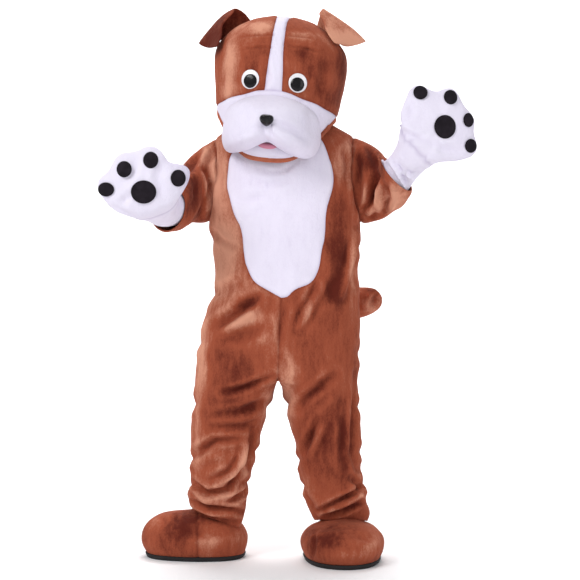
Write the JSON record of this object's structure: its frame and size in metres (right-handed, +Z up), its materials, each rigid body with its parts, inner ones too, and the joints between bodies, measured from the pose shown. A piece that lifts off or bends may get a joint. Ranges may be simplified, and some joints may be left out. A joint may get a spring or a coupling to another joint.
{
  "type": "dog mascot costume",
  "caption": "Full-body plush dog mascot costume, empty, standing pose: big head with stuffed muzzle, one-piece suit with tail, padded mitts with felt pads, boot covers.",
  "frame": {"origin": "middle of the wearer's shoulder line, where the suit hangs, 1.40 m over the floor under the soles", "axes": "+Z up, the costume's front faces -Y, +X is the viewer's right when facing it"},
  "size_m": [1.1903, 0.7022, 1.8263],
  "materials": {
    "plush_brown": "short-pile plush, brushed",
    "plush_white": "short-pile plush, cool white",
    "band_brown": "short-pile plush band",
    "felt_black": "matt felt",
    "gloss_black": "gloss",
    "gloss_white": "gloss",
    "plush_pink": "smooth felt",
    "sole_black": "matt"
  },
  "bodies": {
    "root": {"blaze": "plush_white", "boot_heel_left": "plush_brown", "boot_heel_right": "plush_brown", "boot_vamp_left": "plush_brown", "boot_vamp_right": "plush_brown", "chin": "plush_white", "crown_left": "plush_brown", "crown_right": "plush_brown", "ear_left": "plush_brown", "ear_right": "plush_brown", "eye_left": "gloss_white", "eye_right": "gloss_white", "head_back_left": "plush_brown", "head_back_right": "plush_brown", "lower_face": "plush_white", "mitt_back_left": "plush_white", "mitt_back_right": "plush_white", "mitt_cuff_left": "plush_white", "mitt_cuff_right": "plush_white", "mitt_palm_left": "plush_white", "mitt_palm_right": "plush_white", "muzzle": "plush_white", "neck_band": "band_brown", "nose": "gloss_black", "pad_left_1": "felt_black", "pad_left_2": "felt_black", "pad_left_3": "felt_black", "pad_left_4": "felt_black", "pad_left_5": "felt_black", "pad_right_1": "felt_black", "pad_right_2": "felt_black", "pad_right_3": "felt_black", "pad_right_4": "felt_black", "pad_right_5": "felt_black", "placket": "plush_brown", "pupil_left": "gloss_black", "pupil_right": "gloss_black", "sole_left": "sole_black", "sole_right": "sole_black", "suit_back_left": "plush_brown", "suit_back_right": "plush_brown", "suit_belly": "plush_white", "suit_front_left": "plush_brown", "suit_front_right": "plush_brown", "suit_sleeve_left": "plush_brown", "suit_sleeve_right": "plush_brown", "tail": "plush_brown", "tongue": "plush_pink"}
  },
  "joints": []
}
